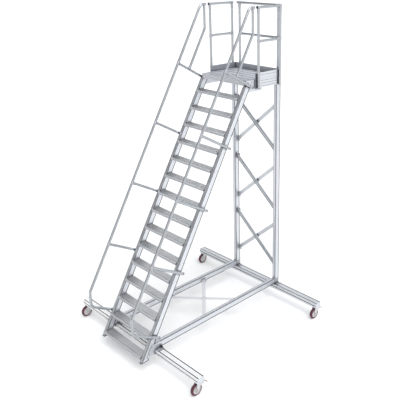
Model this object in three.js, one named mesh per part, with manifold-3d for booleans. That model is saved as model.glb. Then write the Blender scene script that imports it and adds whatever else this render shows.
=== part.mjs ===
// Rolling warehouse ladder: a 60 degree stair of wide treads up to a guarded platform, on a braced base
// with two long crosswise traverses and four braked swivel casters.
// Millimetres. +X is the right of a person climbing, +Y points from the first tread to the platform's rear,
// +Z is up. The sketch places y = 0 at the first tread's nosing; the last lines move the whole ladder so
// that its origin is the bottom centre of its box.
import * as THREE from "three";
import { mergeVertices } from "three/addons/utils/BufferGeometryUtils.js";
import Module from "manifold-3d";

const wasm = await Module();
wasm.setup();

// ---- Driving dimensions ----
const GAP = 0.3; // clearance between pieces that touch
const TILT = THREE.MathUtils.degToRad(60); // stair angle
const RISE = 240; // height of one step
const TREADS = 15; // the platform is one more rise above the last tread
const GOING = RISE / Math.tan(TILT);
const DECK_Z = RISE * (TREADS + 1);

const OUTER_X = 490; // outer face of stringers, legs and beams
const PROFILE = 50; // width of those profiles across X
const PROFILE_DEPTH = 100; // their depth, square to their length
const INNER_X = OUTER_X - PROFILE;
const WALL = 3; // wall of the hollow profiles

const TREAD = { depth: 145, lip: 37, plate: 5, lipWall: 4 };
const STRINGER = { front: -25, rear: -125, footZ: 165 }; // faces as offsets from the nosing line
const TRAVERSE = { halfLength: 1411, depth: 120, low: 195, height: 80, frontY: 218, rearY: 2703.5 };
const BEAM_LOW = TRAVERSE.low + TRAVERSE.height;
const BEAM_HIGH = BEAM_LOW + PROFILE_DEPTH;

const DECK = { frontY: 2078, halfWidth: 455, thickness: 40, plate: 6, skirt: 12 };
const FASCIA = { height: 78, depth: 40 }; // the beam across the deck's front
const FRAME = { inner: 475, outer: 492, frontY: 2280, rearY: 2829, low: 3700, toeHigh: 3925 };
const GUSSET = { thick: 6, rearY: 2430, low: 3660 };
const LEG_Y = [FRAME.rearY - PROFILE_DEPTH, FRAME.rearY];

const TUBE_R = 20; // handrails and railings
const TUBE_SIDES = 12;
const SIDE_RAIL = { x: 512.5, frontY: 2289, rearY: 2800, posts: [2316, 2781], top: 4863, mid: 4388 };
const REAR_RAIL = { y: 2850, halfLength: 456, posts: [-410, 410], top: 4863, mid: 4386 };
const RAIL_FOOT_Z = 3701;
const HANDRAIL = { x: 514.5, offset: 464, firstTie: 325, tiePitch: 948, ties: 5, tieEnd: -150 };
const HANDRAIL_END = { footY: -137, topZ: 4865, tipY: 2225, bend: 70 };
const KNEE_RAIL = { y: 2200, offset: 225, bend: 60 };

const BASE_BRACE = { y: 1568, halfSpread: 383, width: 58, thick: 14, z: 290 };
const REAR_BRACE = { lowestZ: 986, pitch: 1009.5, halfSpread: 370, width: 66, flatWidth: 62 };
const BRACE_Y = { front: 2770, channel: 20, gap: 16, flat: 6, connector: 60 };

const WHEEL = { radius: 88, width: 46, hubRadius: 62, bore: 10.6, trail: 44 };
const AXLE_R = 10;
const FORK = { inner: 29, wall: 4, crownZ: 180, crown: 5, race: 5.2, raceR: 38, halfWidth: 33 };
const PEDAL = { pivotY: 60, pivotZ: 156, pinR: 4, barrelR: 9, halfWidth: 17 };
const PEDAL_BEND = { kneeY: 112, tipY: 148, tipZ: 106 };
const CASTER_X = 1355;
const CASTER_PLATE = { half: 48, thick: 4.5 };

// ---- Materials ----
const material = (color, roughness, metalness) =>
  new THREE.MeshStandardMaterial({ color, roughness, metalness });
const looks = {
  profile: material(0xd9dce3, 0.38, 0.85),
  tread: material(0xb4b8c2, 0.55, 0.8),
  deck: material(0xbcc1cb, 0.55, 0.8),
  tube: material(0xd4d7dc, 0.32, 0.9),
  plate: material(0xb9bdc2, 0.45, 0.8),
  zinc: material(0xc9ccd0, 0.35, 0.9),
  hub: material(0xd2d2d4, 0.5, 0.1),
  tyre: material(0x5d1c24, 0.6, 0),
  pedal: material(0x8a4a2c, 0.5, 0.1),
};

// ---- Geometry helpers ----
const box = ([x0, x1], [y0, y1], [z0, z1]) =>
  new THREE.BoxGeometry(x1 - x0, y1 - y0, z1 - z0).translate(
    (x0 + x1) / 2,
    (y0 + y1) / 2,
    (z0 + z1) / 2,
  );

// Turns an outline with points [y, z] into a solid between two x values.
const SIDE_VIEW = new THREE.Matrix4().makeBasis(
  new THREE.Vector3(0, 1, 0),
  new THREE.Vector3(0, 0, 1),
  new THREE.Vector3(1, 0, 0),
);
function sidePlate(outline, [x0, x1]) {
  const isShape = outline instanceof THREE.Shape;
  const shape = isShape ? outline : new THREE.Shape(outline.map(([y, z]) => new THREE.Vector2(y, z)));
  const options = { depth: x1 - x0, bevelEnabled: false, curveSegments: 6 };
  return new THREE.ExtrudeGeometry(shape, options).applyMatrix4(SIDE_VIEW).translate(x0, 0, 0);
}

// Turns an outline with points [x, y] into a solid between two heights.
function flatPlate(outline, [z0, z1]) {
  const shape = new THREE.Shape(outline.map(([x, y]) => new THREE.Vector2(x, y)));
  return new THREE.ExtrudeGeometry(shape, { depth: z1 - z0, bevelEnabled: false }).translate(0, 0, z0);
}

// A flat or square bar from point a to point b, with its width in the plane square to `normal`.
function bar(a, b, width, thick, normal) {
  const from = new THREE.Vector3(...a);
  const along = new THREE.Vector3(...b).sub(from);
  const length = along.length();
  along.normalize();
  const across = new THREE.Vector3(...normal).cross(along).normalize();
  const through = new THREE.Vector3().crossVectors(along, across);
  const turn = new THREE.Matrix4().makeBasis(along, across, through);
  return new THREE.BoxGeometry(length, width, thick)
    .applyMatrix4(turn)
    .translate((a[0] + b[0]) / 2, (a[1] + b[1]) / 2, (a[2] + b[2]) / 2);
}

const cylinderAlongX = (radius, [x0, x1], y, z, sides) =>
  new THREE.CylinderGeometry(radius, radius, x1 - x0, sides)
    .rotateZ(Math.PI / 2)
    .translate((x0 + x1) / 2, y, z);

// A polyline with a rounded corner of the given radius at each inner point.
function roundedRoute(points, radius) {
  const p = points.map((q) => new THREE.Vector3(...q));
  const route = [p[0]];
  for (let i = 1; i < p.length - 1; i++) {
    const back = p[i - 1].clone().sub(p[i]).normalize();
    const ahead = p[i + 1].clone().sub(p[i]).normalize();
    const half = back.angleTo(ahead) / 2;
    const reach = radius / Math.tan(half);
    const start = p[i].clone().addScaledVector(back, reach);
    const inward = back.clone().add(ahead).normalize();
    const centre = p[i].clone().addScaledVector(inward, radius / Math.sin(half));
    const spoke = start.clone().sub(centre);
    const axis = back.clone().cross(ahead).normalize();
    const steps = 4;
    const sweep = 2 * half - Math.PI;
    for (let k = 0; k <= steps; k++) {
      route.push(spoke.clone().applyAxisAngle(axis, (sweep * k) / steps).add(centre));
    }
  }
  route.push(p[p.length - 1]);
  return route;
}

// A curve whose samples fall on the points of a route, so that a swept section bends only there.
class RouteCurve extends THREE.Curve {
  constructor(points) {
    super();
    this.points = points;
  }
  getPointAt(u) {
    const place = u * (this.points.length - 1);
    const i = Math.min(Math.floor(place), this.points.length - 2);
    return this.points[i].clone().lerp(this.points[i + 1], place - i);
  }
  getPoint(t) {
    return this.getPointAt(t);
  }
  getTangentAt(u) {
    const i = Math.round(u * (this.points.length - 1));
    const before = this.points[Math.max(i - 1, 0)];
    const here = this.points[i];
    const after = this.points[Math.min(i + 1, this.points.length - 1)];
    const inward = here.clone().sub(before).normalize();
    const outward = after.clone().sub(here).normalize();
    return inward.add(outward).normalize();
  }
}

// A round bar along points [x, y, z].
function rod(points, radius = TUBE_R, bend = 0) {
  const bent = points.length > 2;
  const route = bent ? roundedRoute(points, bend) : points.map((q) => new THREE.Vector3(...q));
  const section = new THREE.Shape();
  for (let i = 0; i < TUBE_SIDES; i++) {
    const angle = (2 * Math.PI * i) / TUBE_SIDES;
    const place = [radius * Math.cos(angle), radius * Math.sin(angle)];
    if (i) section.lineTo(...place);
    else section.moveTo(...place);
  }
  section.closePath();
  const options = { steps: route.length - 1, extrudePath: new RouteCurve(route), bevelEnabled: false };
  return new THREE.ExtrudeGeometry(section, options);
}

// ---- Solids: joining and cutting ----
function solidOf(geometry) {
  const bare = geometry.clone();
  bare.deleteAttribute("normal");
  bare.deleteAttribute("uv");
  const merged = mergeVertices(bare, 1e-3);
  const vertProperties = new Float32Array(merged.attributes.position.array);
  const triVerts = new Uint32Array(merged.index.array);
  return new wasm.Manifold(new wasm.Mesh({ numProp: 3, vertProperties, triVerts }));
}
function geometryOf(solid) {
  const { vertProperties, triVerts } = solid.getMesh();
  const geometry = new THREE.BufferGeometry();
  geometry.setAttribute("position", new THREE.BufferAttribute(vertProperties, 3));
  geometry.setIndex(new THREE.BufferAttribute(triVerts, 1));
  geometry.computeVertexNormals();
  return geometry;
}
const join = (...pieces) => geometryOf(pieces.map(solidOf).reduce((a, b) => a.add(b)));
const cut = (piece, ...holes) =>
  geometryOf([piece, ...holes].map(solidOf).reduce((a, b) => a.subtract(b)));

// ---- Stair coordinates: distance up the nosing line and offset square to it ----
const onSlope = (along, offset) => [
  along * Math.cos(TILT) - offset * Math.sin(TILT),
  RISE + along * Math.sin(TILT) + offset * Math.cos(TILT),
];
const yAtHeight = (offset, z) => ((z - RISE) * Math.cos(TILT) - offset) / Math.sin(TILT);

const ladder = new THREE.Group();
function addPiece(name, geometry, look) {
  const mesh = new THREE.Mesh(geometry, look);
  mesh.name = name;
  ladder.add(mesh);
  return mesh;
}
const SIDES = [
  ["left", -1],
  ["right", 1],
];
// The x range of something that spans a to b on the right, on the side asked for.
const mirrored = (side, a, b) => (side > 0 ? [a, b] : [-b, -a]);

// ---- Stair ----
function stringer(side) {
  const topZ = DECK_Z - FASCIA.height - GAP;
  const outline = (front, rear, low, high) => [
    [yAtHeight(front, low), low],
    [yAtHeight(rear, low), low],
    [yAtHeight(rear, high), high],
    [yAtHeight(front, high), high],
  ];
  const skin = sidePlate(
    outline(STRINGER.front, STRINGER.rear, STRINGER.footZ, topZ),
    mirrored(side, INNER_X, OUTER_X),
  );
  const hollow = sidePlate(
    outline(STRINGER.front - WALL, STRINGER.rear + WALL, STRINGER.footZ - RISE, topZ + RISE),
    mirrored(side, INNER_X + WALL, OUTER_X - WALL),
  );
  return cut(skin, hollow);
}

function tread() {
  const { depth, lip, plate, lipWall } = TREAD;
  const section = [
    [0, -lip],
    [lipWall, -lip],
    [lipWall, -plate],
    [depth - lipWall, -plate],
    [depth - lipWall, -lip],
    [depth, -lip],
    [depth, 0],
    [0, 0],
  ];
  return sidePlate(section, [GAP - INNER_X, INNER_X - GAP]);
}

function addStair() {
  for (const [name, side] of SIDES) {
    addPiece("stringer_" + name, stringer(side), looks.profile);
  }
  for (let i = 1; i <= TREADS; i++) {
    const piece = addPiece("tread_" + String(i).padStart(2, "0"), tread(), looks.tread);
    piece.position.set(0, (i - 1) * GOING, i * RISE);
  }
}

// ---- Base ----
// A hollow beam along X with open ends.
function hollowBeam(halfLength, [y0, y1], [z0, z1]) {
  const skin = box([-halfLength, halfLength], [y0, y1], [z0, z1]);
  const hollow = box([-halfLength - 1, halfLength + 1], [y0 + WALL, y1 - WALL], [z0 + WALL, z1 - WALL]);
  return cut(skin, hollow);
}

// A hollow crosswise beam with the four-hole plates of its two casters under its ends.
function traverse(y) {
  const { halfLength, depth, low, height } = TRAVERSE;
  const plates = [-CASTER_X, CASTER_X].map((x) =>
    box(
      [x - CASTER_PLATE.half, x + CASTER_PLATE.half],
      [y + depth / 2 - CASTER_PLATE.half, y + depth / 2 + CASTER_PLATE.half],
      [low - CASTER_PLATE.thick, low + WALL / 2],
    ),
  );
  return join(hollowBeam(halfLength, [y, y + depth], [low, low + height]), ...plates);
}

// A hollow lengthwise beam, its front end cut to the slope of the stringer's rear face.
function baseBeam(side) {
  const start = STRINGER.rear - GAP;
  const rearY = LEG_Y[0] - GAP;
  const skin = sidePlate(
    [
      [yAtHeight(start, BEAM_LOW + GAP), BEAM_LOW + GAP],
      [rearY, BEAM_LOW + GAP],
      [rearY, BEAM_HIGH],
      [yAtHeight(start, BEAM_HIGH), BEAM_HIGH],
    ],
    mirrored(side, INNER_X, OUTER_X),
  );
  const hollow = box(
    mirrored(side, INNER_X + WALL, OUTER_X - WALL),
    [0, rearY + 1],
    [BEAM_LOW + GAP + WALL, BEAM_HIGH - WALL],
  );
  return cut(skin, hollow);
}

// The plate that ties stringer, beam and front traverse, with a flange along the traverse's top.
function frontBracket(side) {
  const plateX = [OUTER_X + GAP, OUTER_X + GAP + 6];
  const stepY = TRAVERSE.frontY - GAP;
  const stepZ = BEAM_LOW + GAP;
  const plate = sidePlate(
    [
      [yAtHeight(STRINGER.rear + 45, 205), 205],
      [stepY, 205],
      [stepY, stepZ],
      [TRAVERSE.frontY + TRAVERSE.depth, stepZ],
      [TRAVERSE.frontY + TRAVERSE.depth, BEAM_HIGH - 6],
      [yAtHeight(STRINGER.rear + 45, BEAM_HIGH - 6), BEAM_HIGH - 6],
    ],
    mirrored(side, ...plateX),
  );
  const flange = box(
    mirrored(side, plateX[0], OUTER_X + 78),
    [TRAVERSE.frontY + 6, TRAVERSE.frontY + TRAVERSE.depth - 6],
    [stepZ, stepZ + 6],
  );
  return join(plate, flange);
}

function baseBrace() {
  const { y, halfSpread, width, thick, z } = BASE_BRACE;
  const endX = INNER_X - GAP;
  const pieces = [1, -1].map((lean, layer) => {
    const level = z + thick / 2 + layer * (thick - 1);
    const from = [-endX, y - lean * halfSpread, level];
    const to = [endX, y + lean * halfSpread, level];
    return bar(from, to, width, thick, [0, 0, 1]);
  });
  const between = box(
    [-endX, endX],
    [y - 2 * halfSpread, y + 2 * halfSpread],
    [z - thick, z + 3 * thick],
  );
  const lugs = [-1, 1].flatMap((side) =>
    [-1, 1].map((end) =>
      box(
        mirrored(side, endX - 5, endX),
        [y + end * halfSpread - 50, y + end * halfSpread + 50],
        [z - 8, z + 2 * thick + 8],
      ),
    ),
  );
  const crossed = solidOf(join(...pieces)).intersect(solidOf(between));
  return join(geometryOf(crossed), ...lugs);
}

function addBase() {
  addPiece("traverse_front", traverse(TRAVERSE.frontY), looks.profile);
  addPiece("traverse_rear", traverse(TRAVERSE.rearY), looks.profile);
  for (const [name, side] of SIDES) {
    addPiece("base_beam_" + name, baseBeam(side), looks.profile);
    addPiece("front_bracket_" + name, frontBracket(side), looks.plate);
  }
  addPiece("base_brace", baseBrace(), looks.profile);
}

// ---- Rear legs and their crossed braces ----
function leg(side) {
  const z = [BEAM_LOW + GAP, FRAME.low - GAP];
  const skin = box(mirrored(side, INNER_X, OUTER_X), LEG_Y, z);
  const hollow = box(
    mirrored(side, INNER_X + WALL, OUTER_X - WALL),
    [LEG_Y[0] + WALL, LEG_Y[1] - WALL],
    [z[0] - 1, z[1] + 1],
  );
  return cut(skin, hollow);
}

// One cross: a channel that falls to the right, a flat bar behind it that rises to the right, a connector
// where they meet, and a lug at each end against the legs.
function rearBrace(centreZ) {
  const { halfSpread, width, flatWidth } = REAR_BRACE;
  const { front, channel, gap, flat, connector } = BRACE_Y;
  const endX = INNER_X - GAP;
  const channelY = front + channel / 2;
  const flatY = front + channel + gap + flat / 2;
  const faceOn = [0, 1, 0];
  const falling = bar(
    [-endX, channelY, centreZ + halfSpread],
    [endX, channelY, centreZ - halfSpread],
    width,
    channel,
    faceOn,
  );
  const rising = bar(
    [-endX, flatY, centreZ - halfSpread],
    [endX, flatY, centreZ + halfSpread],
    flatWidth,
    flat,
    faceOn,
  );
  const hub = box(
    [-connector / 2, connector / 2],
    [front + channel - 1, flatY + flat / 2 + 3],
    [centreZ - connector / 2, centreZ + connector / 2],
  );
  const between = box(
    [-endX, endX],
    [front - 10, flatY + 20],
    [centreZ - 2 * halfSpread, centreZ + 2 * halfSpread],
  );
  const lugs = [-1, 1].flatMap((side) =>
    [-1, 1].map((end) =>
      box(
        mirrored(side, endX - 5, endX),
        [front, flatY + flat / 2],
        [centreZ + end * halfSpread - 50, centreZ + end * halfSpread + 50],
      ),
    ),
  );
  const crossed = solidOf(join(falling, rising, hub)).intersect(solidOf(between));
  return join(geometryOf(crossed), ...lugs);
}

function addLegs() {
  for (const [name, side] of SIDES) {
    addPiece("leg_" + name, leg(side), looks.profile);
  }
  ["lower", "middle", "upper"].forEach((name, i) => {
    addPiece("rear_brace_" + name, rearBrace(REAR_BRACE.lowestZ + i * REAR_BRACE.pitch), looks.profile);
  });
}

// ---- Platform ----
function addPlatform() {
  const wide = FRAME.inner - GAP;
  const fasciaRear = DECK.frontY + FASCIA.depth;
  const beamFront = FRAME.rearY - PROFILE;
  const deckOutline = [
    [-DECK.halfWidth, fasciaRear + GAP],
    [DECK.halfWidth, fasciaRear + GAP],
    [DECK.halfWidth, FRAME.frontY],
    [wide, FRAME.frontY],
    [wide, beamFront - GAP],
    [-wide, beamFront - GAP],
    [-wide, FRAME.frontY],
    [-DECK.halfWidth, FRAME.frontY],
  ];
  const deckLow = DECK_Z - DECK.thickness;
  const hollow = box(
    [DECK.skirt - DECK.halfWidth, DECK.halfWidth - DECK.skirt],
    [fasciaRear + GAP + DECK.skirt, beamFront - GAP - DECK.skirt],
    [deckLow - 1, DECK_Z - DECK.plate],
  );
  addPiece("platform_deck", cut(flatPlate(deckOutline, [deckLow, DECK_Z]), hollow), looks.deck);
  addPiece(
    "platform_front_beam",
    hollowBeam(DECK.halfWidth, [DECK.frontY, fasciaRear], [DECK_Z - FASCIA.height, DECK_Z]),
    looks.profile,
  );
  const rearBeam = hollowBeam(wide, [beamFront, FRAME.rearY], [FRAME.low, DECK_Z]);
  addPiece("platform_rear_beam", rearBeam, looks.profile);
  const toeZ = [DECK_Z + GAP, FRAME.toeHigh];
  const depth = [FRAME.frontY, FRAME.rearY];
  const wall = FRAME.outer - FRAME.inner;
  for (const [name, side] of SIDES) {
    const boardX = mirrored(side, FRAME.inner, FRAME.outer);
    addPiece("platform_side_beam_" + name, box(boardX, depth, [FRAME.low, DECK_Z]), looks.profile);
    addPiece("toe_board_" + name, box(boardX, depth, toeZ), looks.profile);
    addPiece("gusset_" + name, gusset(side), looks.plate);
  }
  addPiece("toe_board_rear", box([-wide, wide], [FRAME.rearY - wall, FRAME.rearY], toeZ), looks.profile);
}

// The plate inside a side beam that hangs its front end on the stringer's top.
function gusset(side) {
  const { thick, rearY, low } = GUSSET;
  const outerFace = FRAME.inner - GAP;
  const deckLow = DECK_Z - DECK.thickness - GAP;
  const seat = DECK_Z - FASCIA.height;
  const shoulderY = FRAME.frontY - GAP;
  const outline = [
    [yAtHeight(STRINGER.rear - GAP, low), low],
    [rearY, low],
    [rearY, deckLow],
    [shoulderY, deckLow],
    [shoulderY, DECK_Z - 4],
    [DECK.frontY + 10, DECK_Z - 4],
    [DECK.frontY + 10, seat],
    [yAtHeight(STRINGER.rear - GAP, seat), seat],
  ];
  return sidePlate(outline, mirrored(side, outerFace - thick, outerFace));
}

// ---- Railings and handrails ----
function sideRailing(side) {
  const { frontY, rearY, posts, top, mid } = SIDE_RAIL;
  const x = side * SIDE_RAIL.x;
  return join(
    rod([[x, frontY, top], [x, rearY, top]]),
    rod([[x, posts[0], mid], [x, posts[1], mid]]),
    ...posts.map((y) => rod([[x, y, RAIL_FOOT_Z], [x, y, top]])),
  );
}

function rearRailing() {
  const { y, halfLength, posts, top, mid } = REAR_RAIL;
  return join(
    rod([[-halfLength, y, top], [halfLength, y, top]]),
    rod([[posts[0], y, mid], [posts[1], y, mid]]),
    ...posts.map((x) => rod([[x, y, RAIL_FOOT_Z], [x, y, top]])),
  );
}

function handrail(side) {
  const { offset, firstTie, tiePitch, ties, tieEnd } = HANDRAIL;
  const { footY, topZ, tipY, bend } = HANDRAIL_END;
  const x = side * HANDRAIL.x;
  const kneeOffset = (firstTie * Math.cos(TILT) - footY) / Math.sin(TILT);
  const zOnSlope = (y, lift) => RISE + (lift + y * Math.sin(TILT)) / Math.cos(TILT);
  const rail = rod(
    [
      [x, ...onSlope(firstTie, tieEnd)],
      [x, ...onSlope(firstTie, kneeOffset)],
      [x, footY, zOnSlope(footY, offset)],
      [x, yAtHeight(offset, topZ), topZ],
      [x, tipY, topZ],
    ],
    TUBE_R,
    bend,
  );
  const tiePlaces = Array.from({ length: ties - 1 }, (_, i) => firstTie + (i + 1) * tiePitch);
  const tieRods = tiePlaces.map((s) => rod([[x, ...onSlope(s, offset)], [x, ...onSlope(s, tieEnd)]]));
  const lastTie = tiePlaces[tiePlaces.length - 1];
  const kneeRail = rod(
    [
      [x, KNEE_RAIL.y, topZ],
      [x, KNEE_RAIL.y, zOnSlope(KNEE_RAIL.y, KNEE_RAIL.offset)],
      [x, ...onSlope(lastTie, KNEE_RAIL.offset)],
    ],
    TUBE_R,
    KNEE_RAIL.bend,
  );
  return join(rail, kneeRail, ...tieRods);
}

function addRails() {
  for (const [name, side] of SIDES) {
    addPiece("side_railing_" + name, sideRailing(side), looks.tube);
    addPiece("handrail_" + name, handrail(side), looks.tube);
  }
  addPiece("rear_railing", rearRailing(), looks.tube);
}

// ---- Casters: drawn round a kingpin at x = 0, y = 0 that trails its wheel towards -Y ----
function casterFork() {
  const { inner, wall, crownZ, crown, race, raceR, halfWidth } = FORK;
  const outer = inner + wall;
  const axleY = -WHEEL.trail;
  const cheekShape = new THREE.Shape();
  cheekShape.moveTo(38, crownZ + crown);
  cheekShape.lineTo(-48, crownZ + crown);
  cheekShape.lineTo(axleY - 17, WHEEL.radius + 4);
  cheekShape.absarc(axleY, WHEEL.radius, 18, Math.PI * 0.95, Math.PI * 1.85, false);
  cheekShape.lineTo(12, 140);
  cheekShape.lineTo(PEDAL.pivotY - 4, PEDAL.pivotZ - 12);
  cheekShape.absarc(PEDAL.pivotY, PEDAL.pivotZ, 12, -Math.PI / 2, Math.PI / 2, false);
  const cheeks = [-1, 1].map((side) => sidePlate(cheekShape, mirrored(side, inner, outer)));
  const crownPlate = box([-outer, outer], [-halfWidth - 15, halfWidth + 5], [crownZ, crownZ + crown]);
  const ring = new THREE.CylinderGeometry(raceR, raceR, race + 1, 24)
    .rotateX(Math.PI / 2)
    .translate(0, 0, crownZ + crown + (race - 1) / 2);
  const axle = cylinderAlongX(AXLE_R, [-outer - 7, outer + 7], axleY, WHEEL.radius, 16);
  const pin = cylinderAlongX(PEDAL.pinR, [-outer - 3, outer + 3], PEDAL.pivotY, PEDAL.pivotZ, 12);
  return join(...cheeks, crownPlate, ring, axle, pin);
}

// A closed ring profile with points [radius, x] turned round the wheel's axle. Its facets lie at those
// radii, and the lowest one is level.
function turnedAlongX(profile, segments) {
  const reach = 1 / Math.cos(Math.PI / segments);
  const points = profile.map(([radius, x]) => new THREE.Vector2(radius * reach, x));
  points.push(points[0].clone());
  return new THREE.LatheGeometry(points, segments, Math.PI / segments).rotateZ(-Math.PI / 2);
}

function casterHub() {
  const { hubRadius, bore } = WHEEL;
  const rim = hubRadius - GAP;
  return turnedAlongX(
    [
      [bore, -26],
      [21, -26],
      [21, -10],
      [rim - 7, -10],
      [rim - 7, -20],
      [rim, -20],
      [rim, 20],
      [rim - 7, 20],
      [rim - 7, 10],
      [21, 10],
      [21, 26],
      [bore, 26],
    ],
    36,
  );
}

function casterTyre() {
  const { radius, width, hubRadius } = WHEEL;
  const half = width / 2;
  return turnedAlongX(
    [
      [hubRadius, -half],
      [radius - 8, -half],
      [radius, 9 - half],
      [radius, half - 9],
      [radius - 8, half],
      [hubRadius, half],
    ],
    36,
  );
}

function casterPedal() {
  const { pivotY, pivotZ, pinR, barrelR, halfWidth } = PEDAL;
  const { kneeY, tipY, tipZ } = PEDAL_BEND;
  const x = [-halfWidth, halfWidth];
  const barrel = cylinderAlongX(barrelR, x, pivotY, pivotZ, 16);
  const tongue = sidePlate(
    [
      [pivotY, pivotZ - 6],
      [kneeY - 4, pivotZ - 22],
      [tipY - 4, tipZ],
      [tipY + 4, tipZ + 5],
      [kneeY, pivotZ - 14],
      [pivotY, pivotZ + 6],
    ],
    x,
  );
  const bore = cylinderAlongX(pinR + GAP, [-halfWidth - 1, halfWidth + 1], pivotY, pivotZ, 12);
  return cut(join(barrel, tongue), bore);
}

function addCasters() {
  const rows = [
    ["front", TRAVERSE.frontY + TRAVERSE.depth / 2],
    ["rear", TRAVERSE.rearY + TRAVERSE.depth / 2],
  ];
  for (const [row, y] of rows) {
    for (const [name, side] of SIDES) {
      const place = row + "_" + name;
      const x = side * CASTER_X;
      const axle = [x, y - WHEEL.trail, WHEEL.radius];
      addPiece("caster_fork_" + place, casterFork(), looks.zinc).position.set(x, y, 0);
      addPiece("caster_hub_" + place, casterHub(), looks.hub).position.set(...axle);
      addPiece("caster_tyre_" + place, casterTyre(), looks.tyre).position.set(...axle);
      addPiece("caster_pedal_" + place, casterPedal(), looks.pedal).position.set(x, y, 0);
    }
  }
}

addStair();
addBase();
addLegs();
addPlatform();
addRails();
addCasters();

// The origin is the bottom centre of the ladder's box.
const bounds = new THREE.Box3().setFromObject(ladder);
ladder.position.y = -Math.round((bounds.min.y + bounds.max.y) / 2);

export default ladder;
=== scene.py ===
"""Rolling warehouse ladder: the visible surfaces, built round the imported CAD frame.

Metres. +X is the right of a person climbing, +Y runs from the first tread to the platform's rear, +Z is up.
"""

import math

import bmesh
import bpy
from mathutils import Matrix, Vector


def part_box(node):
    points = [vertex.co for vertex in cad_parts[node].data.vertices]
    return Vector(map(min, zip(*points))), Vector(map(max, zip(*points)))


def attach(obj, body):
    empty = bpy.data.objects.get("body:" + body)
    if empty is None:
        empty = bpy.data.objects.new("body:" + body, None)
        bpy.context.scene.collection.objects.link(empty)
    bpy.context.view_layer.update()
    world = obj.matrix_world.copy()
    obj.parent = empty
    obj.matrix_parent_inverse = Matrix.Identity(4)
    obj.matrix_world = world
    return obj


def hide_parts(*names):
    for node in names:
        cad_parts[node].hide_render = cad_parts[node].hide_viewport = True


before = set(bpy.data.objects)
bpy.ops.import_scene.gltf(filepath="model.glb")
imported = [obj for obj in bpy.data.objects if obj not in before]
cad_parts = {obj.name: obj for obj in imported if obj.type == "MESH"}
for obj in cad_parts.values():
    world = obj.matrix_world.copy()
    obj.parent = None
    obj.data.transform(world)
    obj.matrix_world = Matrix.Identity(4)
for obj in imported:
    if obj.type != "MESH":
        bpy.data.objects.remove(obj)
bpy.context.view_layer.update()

# ---- Places read from the frame ----
NOSE_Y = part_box("tread_01")[0].y
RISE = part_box("tread_01")[1].z
DECK_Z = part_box("platform_deck")[1].z
DECK_REAR_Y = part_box("platform_deck")[1].y
STRINGER_LOW, STRINGER_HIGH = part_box("stringer_right")
INNER_X, OUTER_X = STRINGER_LOW.x, STRINGER_HIGH.x
TRAVERSE_LOW, TRAVERSE_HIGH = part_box("traverse_front")
REAR_TRAVERSE_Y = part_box("traverse_rear")[0].y
BEAM_LOW, BEAM_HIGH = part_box("base_beam_right")
LEG_LOW, LEG_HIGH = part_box("leg_right")
SIDE_LOW, SIDE_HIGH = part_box("platform_side_beam_right")
TOE_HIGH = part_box("toe_board_right")[1].z
FRONT_BEAM_LOW, FRONT_BEAM_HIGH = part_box("platform_front_beam")
REAR_BEAM_LOW, REAR_BEAM_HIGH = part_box("platform_rear_beam")

# ---- Driving dimensions ----
TILT = math.radians(60)
TREADS = 15
GOING = RISE / math.tan(TILT)
GAP = 0.0004  # between parts that touch
MEMBER_X = (INNER_X + OUTER_X) / 2  # middle of stringers, base beams and legs
TRAVERSE_TOP = TRAVERSE_HIGH.z + GAP
STRINGER_OFFSET = (-0.025, -0.125)  # faces of the stringers, square to the nosing line
TREAD_DEPTH = 0.145
TREAD_LIP = 0.037
TUBE_R = 0.0195
SLEEVE_R = 0.0216
CLAMP_R = TUBE_R + 0.002
RAIL_FOOT_Z, RAIL_TOP_Z = 3.701, 4.863
SIDE_RAIL = {"ends": (2.289, 2.8), "posts": (2.316, 2.781), "mid": 4.388, "plugs": 1, "ahead": 0.019}
REAR_RAIL = {"ends": (-0.456, 0.456), "posts": (-0.41, 0.41), "mid": 4.386, "plugs": 2, "ahead": 0.026}
SIDE_RAIL_X, REAR_RAIL_Y = 0.5125, 2.85
HANDRAIL = {"x": 0.5145, "offset": 0.464, "first": 0.325, "pitch": 0.948, "ties": 4, "end": -0.15}
HANDRAIL_FOOT_Y = -0.137
HANDRAIL_TOP_Z = 4.865
HANDRAIL_TIP_Y = 2.225
KNEE = {"y": 2.2, "offset": 0.225}
HANDRAIL_BEND = 0.07
KNEE_BEND = 0.06
BASE_BRACE = {"y": 1.568, "spread": 0.383, "width": 0.058, "thick": 0.014, "z": 0.29}
REAR_BRACE = {"y": 2.77, "lowest": 0.986, "pitch": 1.0095, "spread": 0.37, "width": 0.066, "flat": 0.062}
BRACE_REACH = INNER_X - 0.001
CASTER_TRAIL = 0.044
CROWN_Z = 0.18
PEDAL_PIN = (0.06, 0.156)  # how far behind the kingpin, and its height

SIDES = (("left", -1), ("right", 1))
UP = (0, 0, 1)

# ---- Materials ----
GRAINS = {
    "x": (2.0, 300.0, 300.0),
    "y": (300.0, 2.0, 300.0),
    "z": (300.0, 300.0, 2.0),
    "slope": (300.0, 2.0, 300.0),
    "cast": (140.0, 140.0, 140.0),
}


def feed(tree, target, inputs):
    """Sets a node's inputs to values, or links them to sockets."""
    for key, value in inputs.items():
        if isinstance(value, bpy.types.NodeSocket):
            tree.links.new(value, target.inputs[key])
        else:
            target.inputs[key].default_value = value


def node(tree, kind, inputs=None, **settings):
    new = tree.nodes.new("ShaderNode" + kind)
    for key, value in settings.items():
        setattr(new, key, value)
    feed(tree, new, inputs or {})
    return new


def noise(tree, place, scale, detail):
    inputs = {"Vector": place, "Scale": scale, "Detail": detail}
    return node(tree, "TexNoise", inputs).outputs["Fac"]


def arithmetic(tree, operation, a, b):
    return node(tree, "Math", {0: a, 1: b}, operation=operation).outputs[0]


def map_range(tree, value, given, wanted, curve="LINEAR"):
    """Turns the range `given` of a value into the range `wanted`."""
    inputs = {"Value": value, "From Min": given[0], "From Max": given[1]}
    inputs.update({"To Min": wanted[0], "To Max": wanted[1]})
    return node(tree, "MapRange", inputs, interpolation_type=curve).outputs["Result"]


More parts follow.
